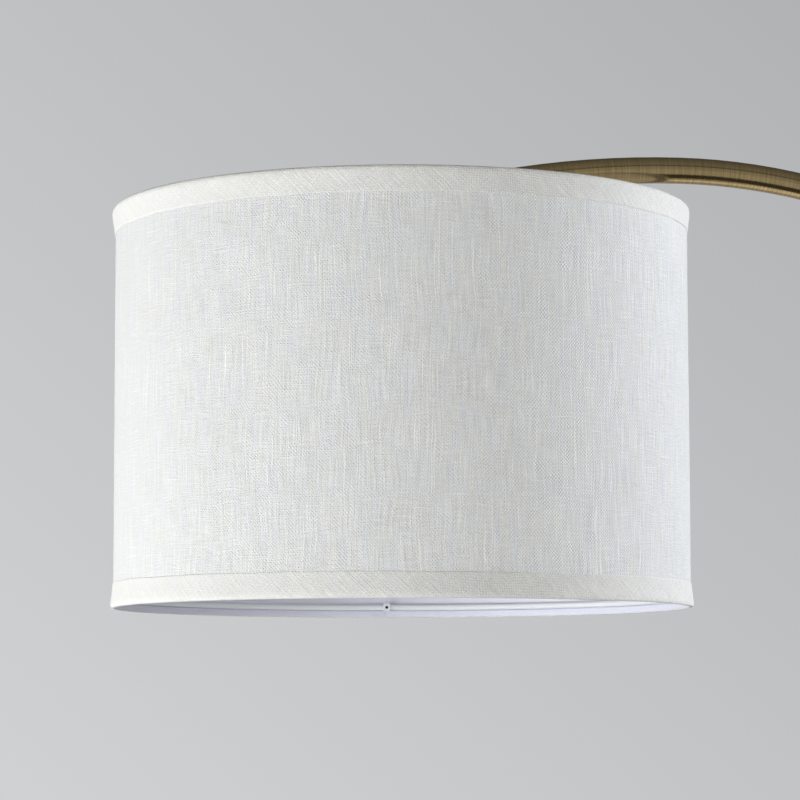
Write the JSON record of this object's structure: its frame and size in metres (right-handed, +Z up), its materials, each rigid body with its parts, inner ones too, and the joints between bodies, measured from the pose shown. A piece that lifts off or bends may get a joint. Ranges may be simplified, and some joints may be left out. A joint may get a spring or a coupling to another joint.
{
  "type": "arc floor lamp",
  "caption": "Arc floor lamp with a weighted round base, a brushed brass tube that bends over in an arc, and a linen drum shade that tilts on a swivel.",
  "frame": {"origin": "on the floor, at the centre of the foot pad under the pole", "axes": "+Z up the pole; the arm and the shade reach towards -X; -Y is the front, where the switch knob is"},
  "size_m": [1.0319, 0.4064, 1.88],
  "materials": {
    "antique_brass": "brushed antique",
    "cast_iron": "rough cast",
    "zinc_steel": "zinc plated",
    "felt": "felt",
    "fibre": "fibre",
    "black_plastic": "moulded",
    "bright_brass": "drawn",
    "white_wire": "satin white",
    "lining": "satin film",
    "linen": "slub linen weave",
    "trim_linen": "bias-cut linen weave",
    "bulb_glass": "opal",
    "bulb_cap": "drawn"
  },
  "bodies": {
    "stand": {"base_pad": "felt", "base_cover": "antique_brass", "base_weight": "cast_iron", "base_washer": "zinc_steel", "base_nut": "zinc_steel", "base_nipple": "zinc_steel", "pole_collar": "antique_brass", "cord_bushing": "black_plastic", "pole_lower": "antique_brass", "pole_middle": "antique_brass", "pole_upper": "antique_brass", "arc_lower": "antique_brass", "arc_upper": "antique_brass", "tube_inserts": "zinc_steel", "joint_nipples": "zinc_steel", "swivel_tongue": "antique_brass"},
    "head": {"swivel_fork": "antique_brass", "swivel_bolt": "antique_brass", "swivel_nut": "antique_brass", "socket_cap": "antique_brass", "head_nipple": "zinc_steel", "cap_nut": "zinc_steel", "friction_washers": "fibre", "socket_body": "black_plastic", "shade_ring": "black_plastic", "screw_shell": "bright_brass", "centre_contact": "bright_brass", "shade_spider": "white_wire", "bottom_ring": "white_wire", "ring_clip": "white_wire", "shade_lining": "lining", "shade_fabric": "linen", "top_trim": "trim_linen", "bottom_trim": "trim_linen", "bulb_glass": "bulb_glass", "bulb_cap": "bulb_cap"},
    "switch": {"switch_stem": "bright_brass", "switch_knob": "black_plastic"}
  },
  "joints": [
    {"name": "shade_tilt", "type": "hinge", "parent": "stand", "child": "head", "pos_m": [-0.68627, 0, 1.8404], "axis": [0, 1, 0], "range_deg": [-6, 35]},
    {"name": "switch_turn", "type": "hinge", "parent": "head", "child": "switch", "pos_m": [-0.68627, -0.03, 1.7919], "axis": [0, -1, 0], "continuous": true}
  ]
}
